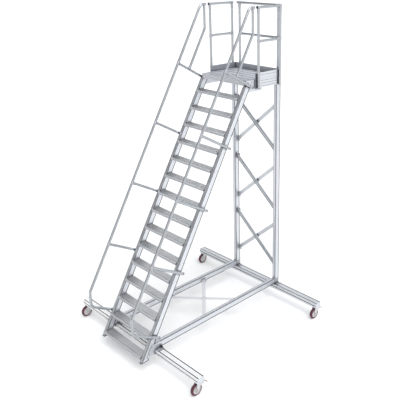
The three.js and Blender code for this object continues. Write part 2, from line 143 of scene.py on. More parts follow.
def graded_colour(tree, factor, colour, spread):
    """Two shades of one colour, chosen by a factor between 0 and 1."""
    ramp = node(tree, "ValToRGB", {"Fac": factor})
    for element, position, strength in zip(ramp.color_ramp.elements, (0.3, 0.7), (1 - spread, 1 + spread)):
        element.position = position
        element.color = (*(min(channel * strength, 1.0) for channel in colour), 1.0)
    return ramp.outputs["Color"]


def new_material(name):
    material = bpy.data.materials.new(name)
    material.use_nodes = True
    tree = material.node_tree
    return material, tree, tree.nodes["Principled BSDF"]


def relief(tree, height, strength, distance):
    inputs = {"Height": height, "Strength": strength, "Distance": distance}
    return node(tree, "Bump", inputs).outputs["Normal"]


def metal(
    name, slot, colour, roughness, grain,
    spread=0.06, bump=0.12, metallic=0.9, serration=None, shade_reach=0.045, shaded_end=None,
):
    """Drawn or pressed metal: streaks along its grain, broad smudges in its gloss, painted shade darkening
    its corners and grooves.

    A shaded end is painted shade that darkens the colour towards one end in x: (x where it starts, x where
    it is fully shaded, shade there).
    """
    material, tree, shader = new_material(name)
    place = node(tree, "TexCoord").outputs["Object"]
    if grain == "slope":
        turn = {"Vector": place, "Angle": -TILT}
        place = node(tree, "VectorRotate", turn, rotation_type="X_AXIS").outputs["Vector"]
    stretched = node(tree, "Mapping", {"Vector": place, "Scale": GRAINS[grain]}).outputs["Vector"]
    streaks = noise(tree, stretched, 1.0, 4.0)
    smudges = noise(tree, place, 5.0, 5.0)
    mixed = arithmetic(tree, "MULTIPLY", arithmetic(tree, "ADD", streaks, smudges), 0.5)
    tint = graded_colour(tree, mixed, colour, spread)
    # Painted shade: ambient occlusion darkens the colour in corners, grooves and between parts.
    corners = node(tree, "AmbientOcclusion", {"Distance": shade_reach}, samples=8).outputs["AO"]
    painted_shade = map_range(tree, corners, (0.3, 0.92), (0.12, 1.0))
    # Painted shade: the colour darkens smoothly towards one end in x.
    if shaded_end:
        unshaded_x, shaded_x, end_shade_level = shaded_end
        x = node(tree, "SeparateXYZ", {"Vector": place}).outputs["X"]
        end_shade = map_range(tree, x, (shaded_x, unshaded_x), (end_shade_level, 1.0), "SMOOTHSTEP")
        painted_shade = arithmetic(tree, "MULTIPLY", painted_shade, end_shade)
    layers = {"Factor": 1.0, "A": tint, "B": painted_shade}
    shaded_tint = node(tree, "Mix", layers, data_type="RGBA", blend_type="MULTIPLY").outputs["Result"]
    gloss = map_range(tree, smudges, (0.3, 0.7), (roughness - 0.06, roughness + 0.08))
    height = streaks
    if serration:
        waves = {"Vector": place, "Scale": math.pi / (10 * serration)}
        teeth = node(tree, "TexWave", waves, bands_direction="X").outputs["Fac"]
        height = arithmetic(tree, "ADD", streaks, teeth)
    normal = relief(tree, height, bump, 0.001)
    feed(tree, shader, {"Base Color": shaded_tint, "Roughness": gloss, "Normal": normal, "Metallic": metallic})
    return material, slot


def moulded(name, slot, colour, roughness, spread=0.15):
    """Plastic or rubber: a fine moulded grain, dust that lightens broad patches."""
    material, tree, shader = new_material(name)
    place = node(tree, "TexCoord").outputs["Object"]
    dust = noise(tree, place, 14.0, 6.0)
    tint = graded_colour(tree, dust, colour, spread)
    gloss = map_range(tree, dust, (0.3, 0.7), (roughness - 0.07, roughness + 0.1))
    normal = relief(tree, noise(tree, place, 400.0, 2.0), 0.25, 0.0005)
    feed(tree, shader, {"Base Color": tint, "Roughness": gloss, "Normal": normal})
    return material, slot


# The stringers' copy of the profile finish is lighter than the copy on beams, legs and boards: painted light
# on the stringers.
PROFILES = {grain: metal("profile_" + grain, "profile", (0.65, 0.67, 0.71), 0.36, grain) for grain in "xyz"}
PROFILES["slope"] = metal("profile_slope_painted_light", "profile", (0.69, 0.71, 0.75), 0.36, "slope")
BRIGHT = (0.96, 0.97, 0.985)
# The front traverse's copy of the finish is much lighter than the rear one's: painted light.
TRAVERSES = {
    "front": metal("traverse_painted_light", "profile", BRIGHT, 0.36, "x", metallic=0.45, shade_reach=0.03),
    "rear": metal("traverse_satin", "profile", (0.74, 0.765, 0.80), 0.36, "x"),
}
# The treads get painted shade that darkens their left ends.
TREAD = metal(
    "tread_serrated", "tread", (0.92, 0.955, 1.0), 0.36, "x", 0.10, 0.5, 0.72,
    serration=0.006, shade_reach=0.012, shaded_end=(-0.12, -0.4, 0.70),
)
NOSING = metal("tread_nosing", "tread", (0.43, 0.44, 0.47), 0.40, "x", 0.07, 0.2, 0.85)
FASCIA = metal("fascia_satin", "profile", (0.58, 0.60, 0.63), 0.40, "x", 0.07, 0.2, 0.85)
DECK = metal("deck_ribbed", "deck", (0.79, 0.82, 0.88), 0.46, "x", 0.08, 0.4, 0.85, 0.008, 0.02)
TUBE = metal("tube_anodised", "tube", (0.43, 0.45, 0.475), 0.2, "z", 0.05, 0.06, 0.97)
BRACE = metal("brace_strip", "brace", (0.60, 0.62, 0.65), 0.38, "x", 0.08, 0.12, shade_reach=0.02)
PALE = (0.76, 0.77, 0.79)
BRIGHT_BRACE = metal("brace_strip_bright", "brace", PALE, 0.45, "x", 0.04, 0.1, shade_reach=0.012)
PLATE = metal("bracket_plate", "plate", (0.64, 0.66, 0.70), 0.42, "cast", 0.10, 0.2)
ZINC = metal("zinc_plated", "zinc", (0.62, 0.63, 0.64), 0.34, "cast", 0.14, 0.3, 0.95)
STEEL = metal("fastener_steel", "fastener", (0.55, 0.56, 0.58), 0.30, "cast", 0.1, 0.15, 0.95)
# Dark linings on the toe boards' inner faces: partly their own dark finish, partly painted shade; the side
# copy is darker than the rear one as painted shade.
LININGS_AND_SHADE = {
    "side": metal("side_lining_and_shade", "dark_plate", (0.30, 0.31, 0.34), 0.5, "y", 0.15, 0.15, 0.5),
    "rear": metal("rear_lining_and_shade", "dark_plate", (0.40, 0.41, 0.44), 0.5, "x", 0.15, 0.15, 0.5),
}
CLAMP = metal("cast_clamp", "zinc", (0.44, 0.45, 0.48), 0.45, "cast", 0.12, 0.4, 0.8)
CHEEK = (PLATE[0], "tread")  # the metal of another finish, in its own slot
ANGLE = (CLAMP[0], "dark_plate")
BLACK = moulded("black_plastic", "black_plastic", (0.012, 0.012, 0.014), 0.45)
CHARCOAL = moulded("charcoal_plastic", "black_plastic", (0.19, 0.197, 0.21), 0.5)
HUB = moulded("hub_polyamide", "hub", (0.56, 0.55, 0.54), 0.42, 0.06)
TYRE = moulded("tyre_rubber", "tyre", (0.072, 0.0115, 0.027), 0.5, 0.2)
PAD = moulded("pedal_pad", "pedal", (0.36, 0.15, 0.05), 0.5, 0.2)


# ---- Shapes ----
def on_slope(x, along, offset):
    """The point `along` up the nosing line and `offset` square to it."""
    y = NOSE_Y + along * math.cos(TILT) - offset * math.sin(TILT)
    return Vector((x, y, RISE + along * math.sin(TILT) + offset * math.cos(TILT)))


def along_at(z, offset):
    return (z - RISE - offset * math.cos(TILT)) / math.sin(TILT)


def slope_y(offset, z):
    return NOSE_Y + ((z - RISE) * math.cos(TILT) - offset) / math.sin(TILT)


def slope_z(y, offset):
    return RISE + (offset + (y - NOSE_Y) * math.sin(TILT)) / math.cos(TILT)


def along_x(y, z):
    return lambda a, b, c: Vector((c, y + a, z + b))


def along_y(x, z):
    return lambda a, b, c: Vector((x + a, c, z + b))


def along_z(x, y):
    return lambda a, b, c: Vector((x + a, y + b, c))


def mirrored(outline):
    """The left half of an outline (a, b) and its mirror image."""
    return outline + [(-a, b) for a, b in reversed(outline)]


def rod(radius, length):
    """The profile of a plain round rod, for Shape.turned."""
    return [(0, 0), (radius, 0), (radius, length), (0, length)]


def arc(centre, radius, start, end, steps):
    angles = [math.radians(start + (end - start) * k / steps) for k in range(steps + 1)]
    return [(centre[0] + radius * math.cos(t), centre[1] + radius * math.sin(t)) for t in angles]


def rounded_route(points, bend, steps=8):
    """A polyline with a rounded corner at each inner point."""
    points = [Vector(p) for p in points]
    route = [points[0]]
    for before, here, after in zip(points, points[1:], points[2:]):
        back = (before - here).normalized()
        ahead = (after - here).normalized()
        half = back.angle(ahead) / 2
        start = here + back * (bend / math.tan(half))
        centre = here + (back + ahead).normalized() * (bend / math.sin(half))
        axis = back.cross(ahead).normalized()
        sweep = 2 * half - math.pi
        for k in range(steps + 1):
            route.append(centre + Matrix.Rotation(sweep * k / steps, 3, axis) @ (start - centre))
    route.append(points[-1])
    return route


OUTWARD = {"low": (0, -1), "right": (1, 0), "high": (0, 1), "left": (-1, 0)}


def rectangle(width, height, corner, grooves=()):
    """A rectangle round (0, 0) with rounded corners and grooves in its sides.

    A groove is (side, place, width, depth). An undercut one adds (neck, inner width).
    """
    points = []
    for side, out in OUTWARD.items():
        run = (-out[1], out[0])
        half_run, half_out = (width / 2, height / 2) if run[0] else (height / 2, width / 2)

        def put(along, sunk):
            reach = half_out - sunk
            points.append((out[0] * reach + run[0] * along, out[1] * reach + run[1] * along))

        put(corner - half_run, 0)
        here = sorted((g[1] * sum(run), *g[2:]) for g in grooves if g[0] == side)
        for place, gap, depth, *undercut in here:
            wall = [(gap / 2, 0), (gap / 2, depth)]
            if undercut:
                neck, inner = undercut
                wall = [(gap / 2, 0), (gap / 2, neck), (inner / 2, neck), (inner / 2, depth)]
            for reach, sunk in wall:
                put(place - reach, sunk)
            for reach, sunk in reversed(wall):
                put(place + reach, sunk)
        put(half_run - corner, 0)
        for k in (1, 2):
            angle = k * math.pi / 6
            put(half_run - corner + corner * math.sin(angle), corner - corner * math.cos(angle))
    return points


class Shape:
    """Closed shells gathered into one mesh."""

    def __init__(self):
        self.points = []
        self.faces = []

    def shell(self, points, faces):
        start = len(self.points)
        self.points += points
        self.faces += [[start + i for i in face] for face in faces]
        return self

    def extrude(self, outline, place, start, end):
        """An outline of points (a, b) drawn along c. An end is a number, or a function of a and b."""
        count = len(outline)
        points = []
        for end_value in (start, end):
            for a, b in outline:
                points.append(place(a, b, end_value(a, b) if callable(end_value) else end_value))
        sides = [(i, (i + 1) % count, count + (i + 1) % count, count + i) for i in range(count)]
        return self.shell(points, sides + [range(count), range(count, 2 * count)])

    def block(self, corner, opposite):
        (x0, y0, z0), (x1, y1, z1) = corner, opposite
        return self.extrude([(x0, y0), (x1, y0), (x1, y1), (x0, y1)], along_z(0, 0), z0, z1)

    def plate(self, outline, x0, x1):
        """An outline of points (y, z) between two x values."""
        return self.extrude(outline, along_x(0, 0), x0, x1)

    def strip(self, start, end, out, section):
        """A section (p, q) from one point to another, with q towards `out` and its ends cut square to X."""
        start, end, out = Vector(start), Vector(end), Vector(out)
        along = (end - start).normalized()
        across = along.cross(out)
        slant = -across.x / along.x
        length = (end - start).length
        return self.extrude(
            section,
            lambda p, q, c: start + across * p + out * q + along * c,
            lambda p, q: p * slant,
            lambda p, q: length + p * slant,
        )

    def tube(self, *route, sides=24):
        """A round railing tube through points."""
        route = [Vector(point) for point in route]
        steps = [(after - here).normalized() for here, after in zip(route, route[1:])]
        turn = steps[0].orthogonal()
        points = []
        for here, inward, outward in zip(route, steps[:1] + steps, steps + steps[-1:]):
            tangent = (inward + outward).normalized()
            turn = (turn - tangent * turn.dot(tangent)).normalized()
            other = tangent.cross(turn)
            for k in range(sides):
                angle = 2 * math.pi * k / sides
                points.append(here + (turn * math.cos(angle) + other * math.sin(angle)) * TUBE_R)
        faces = [range(sides), range(len(points) - sides, len(points))]
        for ring in range(len(route) - 1):
            for k in range(sides):
                a, b = ring * sides + k, ring * sides + (k + 1) % sides
                faces.append((a, b, b + sides, a + sides))
        return self.shell(points, faces)

    def turned(self, profile, centre, axis, segments=32):
        """A profile of points (radius, reach) turned about an axis: from the axis back to it, or a ring."""
        centre, axis = Vector(centre), Vector(axis).normalized()
        across = axis.orthogonal().normalized()
        other = axis.cross(across)
        points, rings = [], []
        for radius, reach in profile:
            count = segments if radius else 1
            rings.append([len(points) + k % count for k in range(segments + 1)])
            for k in range(count):
                angle = 2 * math.pi * k / segments
                spoke = across * math.cos(angle) + other * math.sin(angle)
                points.append(centre + axis * reach + spoke * radius)
        if profile[0][0]:
            rings.append(rings[0])
        faces = []
        for a, b in zip(rings, rings[1:]):
            for k in range(segments):
                faces.append(list(dict.fromkeys((a[k], a[k + 1], b[k + 1], b[k]))))
        return self.shell(points, faces)

    def scaled(self, profile, size, seat, axis, segments):
        """A turned profile that is given in units of its size."""
        return self.turned([(size * r, size * reach) for r, reach in profile], seat, axis, segments)

    def bolt(self, seat, axis, size=0.008):
        """A washer and a chamfered hexagon head standing on a surface."""
        washer = [(0, 0), (1.25, 0), (1.25, 0.15), (1.1, 0.25), (0, 0.25)]
        head = [(0, 0), (1, 0.2), (1, 0.7), (0.8, 0.85), (0, 0.85)]
        return self.scaled(washer, size, seat, axis, 20).scaled(head, size, seat, axis, 6)

    def button(self, seat, axis, size=0.006):
        """A domed rivet or screw head."""
        dome = [(0, 0), (1, 0), (1, 0.15), (0.75, 0.45), (0.35, 0.6), (0, 0.62)]
        return self.scaled(dome, size, seat, axis, 16)

    def sleeve(self, a, b, radius=SLEEVE_R, lip=0.0015):
        """A short round sleeve with softened ends between two points."""
        a, b = Vector(a), Vector(b)
        length = (b - a).length
        profile = [(0, 0), (radius - lip, 0), (radius, lip)]
        profile += [(r, length - reach) for r, reach in reversed(profile)]
        return self.turned(profile, a, b - a, 24)


def add_object(name, data):
    added = bpy.data.objects.new(name, data)
    bpy.context.scene.collection.objects.link(added)
    return added


def make(name, shape, finish, body="frame", replaces=(), bevel=0.0):
    """Turns a shape into a piece that rides on a body. A finish is a material and a slot name; the slot is
    not used.
    """
    material, slot = finish
    mesh = bpy.data.meshes.new(name)
    mesh.from_pydata(shape.points, [], shape.faces)
    cleaned = bmesh.new()
    cleaned.from_mesh(mesh)
    bmesh.ops.recalc_face_normals(cleaned, faces=cleaned.faces)
    cleaned.to_mesh(mesh)
    cleaned.free()
    mesh.shade_smooth()
    sharp = math.radians(38)
    mesh.set_sharp_from_angle(angle=sharp)
    mesh.materials.append(material)
    piece = add_object(name, mesh)
    if bevel:
        edge = piece.modifiers.new("edges", "BEVEL")
        edge.width = bevel
        edge.segments = 2
        edge.limit_method = "ANGLE"
        edge.angle_limit = sharp
    normals = piece.modifiers.new("normals", "WEIGHTED_NORMAL")
    normals.keep_sharp = True
    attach(piece, body)
    if replaces:
        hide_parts(*replaces)


# ---- Sections ----
PROFILE_WIDTH, PROFILE_DEPTH = 0.05, 0.1
EDGE_GROOVE = {"place": 0.0405, "width": 0.0125, "depth": 0.008}
PROFILE_SECTION = rectangle(
    PROFILE_WIDTH,
    PROFILE_DEPTH,
    0.003,
    [
        (side, end * EDGE_GROOVE["place"], EDGE_GROOVE["width"], EDGE_GROOVE["depth"])
        for side in ("left", "right")
        for end in (-1, 1)
    ]
    + [(side, place, 0.005, 0.004) for side in ("low", "high") for place in (-0.019, 0.019)],
)
TRAVERSE_WIDTH, TRAVERSE_HEIGHT = 0.12, 0.08
TRAVERSE_SLOTS = [("high", -0.04), ("high", 0.04), ("left", 0.0), ("right", 0.0)]
TRAVERSE_SECTION = rectangle(
    TRAVERSE_WIDTH,
    TRAVERSE_HEIGHT,
    0.003,
    [(side, place, 0.017, 0.014, 0.003, 0.022) for side, place in TRAVERSE_SLOTS]
    + [(side, place, 0.005, 0.004) for side in ("left", "right") for place in (-0.028, 0.028)]
    + [("high", place, 0.003, 0.002) for place in (-0.012, 0.012)],
)
# Dark strips sunk in the traverse slots: painted shade in the slots.
SLOT_SHADE_STRIP = {"half": 0.0083, "top": 0.001, "base": 0.006}


def groove_shade_strips(place, start, end):
    """Dark strips that fill the four edge grooves of a profile, sunk a little below its faces: painted shade
    in the grooves.
    """
    strips = Shape()
    half = EDGE_GROOVE["width"] / 2 - 0.0002
    sunk = PROFILE_WIDTH / 2 - 0.0012
    for side in (-1, 1):
        for groove in (-EDGE_GROOVE["place"], EDGE_GROOVE["place"]):
            strip = [(sunk, -half), (sunk + 0.0006, 0), (sunk, half)]
            strip += [(sunk - 0.003, half), (sunk - 0.003, -half)]
            strips.extrude([(side * a, groove + b) for a, b in strip], place, start, end)
    return strips


def make_profile(kind, name, finish, place, start, end):
    """A grooved profile and the dark strips of painted shade in its grooves."""
    beam = Shape().extrude(PROFILE_SECTION, place, start, end)
    make(kind + "_profile_" + name, beam, finish, replaces=[kind + "_" + name])
    make(kind + "_groove_shade_strips_" + name, groove_shade_strips(place, start, end), BLACK)


def plank_section(depth, height, plate, web, webs, pitch, nose_grooves):
    """Outline (y, z) of a ribbed plank with its top at z = 0: lips front and rear, webs below, ribs on top.

    Every third groove between the ribs is deep and wide.
    """
    points = [(0, -height), (web, -height), (web, -plate)]
    for centre in webs:
        points += [(centre - 0.0015, -plate), (centre - 0.0015, -0.6 * height)]
        points += [(centre + 0.0015, -0.6 * height), (centre + 0.0015, -plate)]
    points += [(depth - web, -plate), (depth - web, -height), (depth, -height), (depth, 0)]
    for k in range(int((depth - 0.016) / pitch), 0, -1):
        centre = 0.006 + k * pitch
        sunk, half = (0.0045, 0.49 * pitch) if k % 3 == 0 else (0.0018, 0.26 * pitch)
        floor = half - 0.1 * pitch
        points += [(centre + half, 0), (centre + floor, -sunk), (centre - floor, -sunk), (centre - half, 0)]
    points += [(0.003, 0), (0.0008, -0.001), (0, -0.003)]
    for z in nose_grooves:
        points += [(0, z + 0.0015), (0.0018, z + 0.0015), (0.0018, z - 0.0015), (0, z - 0.0015)]
    return points


# ---- Stair ----
def add_stringers():
    middle = sum(STRINGER_OFFSET) / 2
    for name, side in SIDES:

        def place(a, b, c):
            return on_slope(side * MEMBER_X + a, c, middle + b)

        def level(z):
            return lambda a, b: along_at(z, middle + b)

        foot, head = STRINGER_LOW.z, STRINGER_HIGH.z
        make_profile("stringer", name, PROFILES["slope"], place, level(foot), level(head))
        cap = rectangle(0.052, 0.102, 0.004)
        plug = Shape().extrude(cap, place, level(foot - 0.005), level(foot + 0.006))
        make("stringer_foot_cap_" + name, plug, BLACK, bevel=0.001)
        screws = Shape()
        for i in range(TREADS):
            step = Vector((side * OUTER_X, NOSE_Y + i * GOING, (i + 1) * RISE))
            for reach in (0.045, 0.1):
                screws.button(step + Vector((0, reach, -0.022)), (side, 0, 0), 0.0065)
        make("tread_screws_" + name, screws, STEEL)


def add_treads():
    section = plank_section(TREAD_DEPTH, TREAD_LIP, 0.0055, 0.004, (0.05, 0.1), 0.0095, (-0.012, -0.025))
    ridge = [(0, -0.001), (0.0055, -0.001), (0.0048, 0.0008), (0.0007, 0.0008)]
    lip_grooves = [("left", place, 0.003, 0.0006) for place in (-0.006, 0.007)]
    lip = rectangle(0.0012, 0.032, 0.0004, lip_grooves)
    front, rear = 0.0005, TREAD_DEPTH - 0.0005
    cheek = [(front, -TREAD_LIP), (rear, -TREAD_LIP), (rear, 0), (0.003, 0), (front, -0.003)]
    for i in range(TREADS):
        number = str(i + 1).zfill(2)
        low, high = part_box("tread_" + number)
        half = high.x - 0.004
        plank = Shape().extrude(section, along_x(low.y, high.z), -half, half)
        for k in range(3):
            y = low.y + 0.004 + k * 0.0075
            plank.extrude(ridge, along_x(y, high.z - 0.0008), 0.01 - half, half - 0.01)
        make("tread_plank_" + number, plank, TREAD, replaces=["tread_" + number])
        nosing = Shape().extrude(lip, along_x(low.y - 0.0004, high.z - 0.0205), 0.002 - half, half - 0.002)
        make("tread_nosing_" + number, nosing, NOSING)
        ends = Shape()
        for side in (-1, 1):
            ends.plate([(low.y + y, high.z + z) for y, z in cheek], side * half, side * high.x)
        make("tread_end_plates_" + number, ends, CHEEK)


# ---- Base ----
def add_traverse(name, y):
    """A crosswise beam with its dark slot strips of painted shade and end caps, and the top plates of its
    two casters.
    """
    cap_x = TRAVERSE_HIGH.x - 0.006
    underside = TRAVERSE_HIGH.z - TRAVERSE_HEIGHT
    y += TRAVERSE_WIDTH / 2
    z = underside + TRAVERSE_HEIGHT / 2
    beam = Shape().extrude(TRAVERSE_SECTION, along_x(y, z), -cap_x, cap_x)
    make("traverse_profile_" + name, beam, TRAVERSES[name], replaces=["traverse_" + name])
    strips, caps, plates, screws = Shape(), Shape(), Shape(), Shape()
    half, top, base = (SLOT_SHADE_STRIP[key] for key in ("half", "top", "base"))
    for side, place in TRAVERSE_SLOTS:
        strip = [(place - half, base), (place - half, top), (place + half, top), (place + half, base)]
        if side == "high":
            strip = [(a, TRAVERSE_HEIGHT / 2 - sunk) for a, sunk in strip]
        else:
            out = 1 if side == "right" else -1
            strip = [(out * (TRAVERSE_WIDTH / 2 - sunk), b) for b, sunk in strip]
        strips.extrude(strip, along_x(y, z), -cap_x, cap_x)
    make("traverse_slot_shade_strips_" + name, strips, BLACK)
    cap = rectangle(TRAVERSE_WIDTH + 0.0002, TRAVERSE_HEIGHT + 0.0002, 0.006)
    for side in (-1, 1):
        caps.extrude(cap, along_x(y, z), side * (cap_x - 0.001), side * (cap_x + 0.0035))
        for a in (-0.04, 0.04):
            for b in (-0.022, 0.022):
                screws.button((side * (cap_x + 0.0034), y + a, z + b), (side, 0, 0), 0.004)
    make("traverse_end_caps_" + name, caps, PLATE, bevel=0.001)
    seat = rectangle(0.096, 0.096, 0.01)
    nut = [(0, 0), (0.0085, 0), (0.0085, 0.002), (0.007, 0.0035), (0, 0.0035)]
    for corner_side, _ in SIDES:
        fork_low, fork_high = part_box("caster_fork_" + name + "_" + corner_side)
        x = (fork_low.x + fork_high.x) / 2
        plates.extrude(seat, along_z(x, y), underside - 0.0045, underside + 0.0005)
        for dx in (-0.038, 0.038):
            for dy in (-0.038, 0.038):
                screws.turned(nut, (x + dx, y + dy, underside - 0.0045), (0, 0, -1), 6)
    make("caster_top_plates_" + name, plates, ZINC, bevel=0.0008)
    make("traverse_screws_" + name, screws, STEEL)


def add_base_beams():
    """The lengthwise beams, their front ends cut to the slope of the stringers' undersides."""
    z = (BEAM_LOW.z + BEAM_HIGH.z) / 2
    for name, side in SIDES:
        make_profile(
            "base_beam",
            name,
            PROFILES["y"],
            along_y(side * MEMBER_X, z),
            lambda a, b: slope_y(STRINGER_OFFSET[1] - GAP, z + b),
            BEAM_HIGH.y,
        )


def add_front_brackets():
    """Plates that tie stringer, beam and traverse, with angles along the traverse's top."""
    plates, angles, bolts = Shape(), Shape(), Shape()
    top, front, rear = TRAVERSE_TOP, TRAVERSE_LOW.y, TRAVERSE_HIGH.y
    lower, upper = 0.205, BEAM_HIGH.z - 0.006
    outline = [
        (slope_y(-0.08, lower), lower),
        (front - 0.0005, lower),
        (front - 0.0005, top),
        (rear, top),
        (rear, upper - 0.02),
        (rear - 0.02, upper),
        (slope_y(-0.08, upper), upper),
    ]
    bolted = [(slope_y(-0.1, z), z) for z in (0.25, 0.34)]
    bolted += [(rear - reach, 0.325) for reach in (0.085, 0.03)]
    for _, side in SIDES:
        x = side * (OUTER_X + GAP)
        face = x + side * 0.006
        plates.plate(outline, x, face)
        angles.block((x, front + 0.006, top), (x + side * 0.078, rear - 0.006, top + 0.006))
        web = [(face, top + 0.005), (x + side * 0.07, top + 0.005), (face, top + 0.06)]
        angles.extrude(web, along_y(0, 0), rear - 0.013, rear - 0.007)
        for y in (front + 0.035, rear - 0.04):
            bolts.bolt((x + side * 0.05, y, top + 0.006), UP, 0.009)
        for y, z in bolted:
            bolts.bolt((face, y, z), (side, 0, 0), 0.009)
        x = side * (INNER_X - GAP)
        face = x - side * 0.005
        angles.block((x, front + 0.012, top), (x - side * 0.07, rear - 0.012, top + 0.005))
        angles.block((x, front + 0.012, top + 0.004), (face, rear - 0.012, top + 0.07))
        for y in (front + 0.035, rear - 0.035):
            bolts.bolt((x - side * 0.045, y, top + 0.005), UP)
            bolts.bolt((face, y, top + 0.045), (-side, 0, 0))
    replaced = ["front_bracket_left", "front_bracket_right"]
    make("front_bracket_plates", plates, PLATE, replaces=replaced, bevel=0.0012)
    make("front_bracket_angles", angles, ANGLE, bevel=0.001)
    make("front_bracket_bolts", bolts, STEEL)


def add_base_brace():
    """Two crossed channels with their open sides down: the one that runs to the front right lies on top."""
    brace, lugs, bolts = Shape(), Shape(), Shape()
    spread, width, thick, z = (BASE_BRACE[key] for key in ("spread", "width", "thick", "z"))
    y = NOSE_Y + BASE_BRACE["y"]
    half, wall = width / 2, 0.003
    groove = [(-0.0075, thick - 0.0012), (-0.009, thick)]
    section = mirrored(groove + [(-half, thick), (-half, 0), (wall - half, 0), (wall - half, thick - wall)])
    for layer, lean in enumerate((1, -1)):
        level = z + layer * (thick + 0.0002)
        start = (-BRACE_REACH, y - lean * spread, level)
        brace.strip(start, (BRACE_REACH, y + lean * spread, level), UP, section)
    top = z + 2 * thick + 0.0002
    for _, side in SIDES:
        inner = side * (INNER_X - 0.0006)
        face = inner - side * 0.005
        for end in (-1, 1):
            centre = y + end * spread
            lugs.block((inner, centre - 0.05, z - 0.008), (face, centre + 0.05, top + 0.008))
            lugs.block((inner, centre - 0.03, z - 0.006), (inner - side * 0.055, centre + 0.03, z - 0.0002))
            seat = top if end * side < 0 else z + thick
            bolts.bolt((inner - side * 0.035, centre, seat), UP, 0.007)
            for reach in (-0.04, 0.04):
                bolts.button((face, centre + reach, z + thick), (-side, 0, 0))
    bolts.bolt((0, y, top - 0.0012), UP)
    make("base_brace_strips", brace, BRIGHT_BRACE, replaces=["base_brace"], bevel=0.0006)
    make("base_brace_lugs", lugs, PLATE, bevel=0.0006)
    make("base_brace_bolts", bolts, STEEL)


# ---- Rear legs and braces ----
def add_legs():
    """The legs, the angles at their feet, and plates on the inner faces of the base beams' rear ends."""
    y = (LEG_LOW.y + LEG_HIGH.y) / 2
    front, rear = LEG_LOW.y + 0.006, LEG_HIGH.y - 0.006
    foot = TRAVERSE_TOP
    angles, bolts, splices = Shape(), Shape(), Shape()
    for name, side in SIDES:
        make_profile("leg", name, PROFILES["z"], along_z(side * MEMBER_X, y), LEG_LOW.z, LEG_HIGH.z)
        for face, out in ((side * OUTER_X, side), (side * INNER_X, -side)):
            angles.block((face, front, foot + 0.004), (face + out * 0.005, rear, foot + 0.085))
            angles.block((face, front, foot), (face + out * 0.06, rear, foot + 0.005))
            for bolt_y in (LEG_LOW.y + 0.028, LEG_HIGH.y - 0.028):
                bolts.bolt((face + out * 0.038, bolt_y, foot + 0.005), UP, 0.0085)
                bolts.bolt((face + out * 0.005, bolt_y, foot + 0.055), (out, 0, 0), 0.0085)
        face = side * INNER_X
        low, high = BEAM_LOW.z + 0.006, BEAM_HIGH.z - 0.012
        splices.block((face, BEAM_HIGH.y - 0.3, low), (face - side * 0.004, BEAM_HIGH.y + 0.0002, high))
        for reach in (0.27, 0.2, 0.13, 0.06):
            seat = (face - side * 0.004, BEAM_HIGH.y - reach, BEAM_LOW.z + 0.045)
            bolts.bolt(seat, (-side, 0, 0), 0.0075)
    make("leg_foot_angles", angles, ANGLE, bevel=0.001)
    make("beam_splice_plates", splices, PLATE, bevel=0.001)
    make("leg_bolts", bolts, STEEL)


def add_rear_braces():
    """Between the legs, three times: a channel that falls to the right in front of a flat bar that rises."""
    y = NOSE_Y + REAR_BRACE["y"]
    spread = REAR_BRACE["spread"]
    half, flat_half, land = REAR_BRACE["width"] / 2, REAR_BRACE["flat"] / 2, 0.0115
    edge = [(-half, 0.02), (-half, 0), (0.006 - half, 0), (0.006 - half, 0.009)]
    channel = mirrored(edge + [(-land, 0.009), (-land, 0.0)])
    flat = mirrored([(-flat_half, 0.042), (-flat_half, 0.036), (-0.006, 0.036), (-0.005, 0.0375)])
    disc = [(0, 0.019), (0.029, 0.019), (0.030, 0.022), (0.030, 0.035), (0.027, 0.045), (0, 0.045)]
    rearward = (0, 1, 0)
    for i, level in enumerate(("lower", "middle", "upper")):
        z = REAR_BRACE["lowest"] + i * REAR_BRACE["pitch"]
        strips, lugs, bolts = Shape(), Shape(), Shape()
        strips.strip((-BRACE_REACH, y, z + spread), (BRACE_REACH, y, z - spread), rearward, channel)
        strips.strip((-BRACE_REACH, y, z - spread), (BRACE_REACH, y, z + spread), rearward, flat)
        replaced = ["rear_brace_" + level]
        make("rear_brace_strips_" + level, strips, BRACE, replaces=replaced, bevel=0.0006)
        hub = Shape().turned(disc, (0, y, z), rearward)
        make("rear_brace_hub_" + level, hub, BLACK, bevel=0.0008)
        bolts.bolt((0, y, z), (0, -1, 0), 0.0075)
        bolts.bolt((0, y + 0.045, z), rearward, 0.009)
        for _, side in SIDES:
            face = side * (INNER_X - 0.0005)
            for end in (-1, 1):
                centre = z + end * spread
                lugs.block((face, y, centre - 0.05), (face - side * 0.005, y + 0.042, centre + 0.05))
                tab_y, seat_y = (y + 0.0205, y + 0.0245) if end * side < 0 else (y + 0.0315, y + 0.042)
                lugs.block((face, tab_y, centre - 0.03), (face - side * 0.06, tab_y + 0.004, centre + 0.03))
                bolts.bolt((face - side * 0.035, seat_y, centre - end * 0.02), rearward, 0.0075)
        make("rear_brace_lugs_" + level, lugs, PLATE, bevel=0.0006)
        make("rear_brace_bolts_" + level, bolts, STEEL)


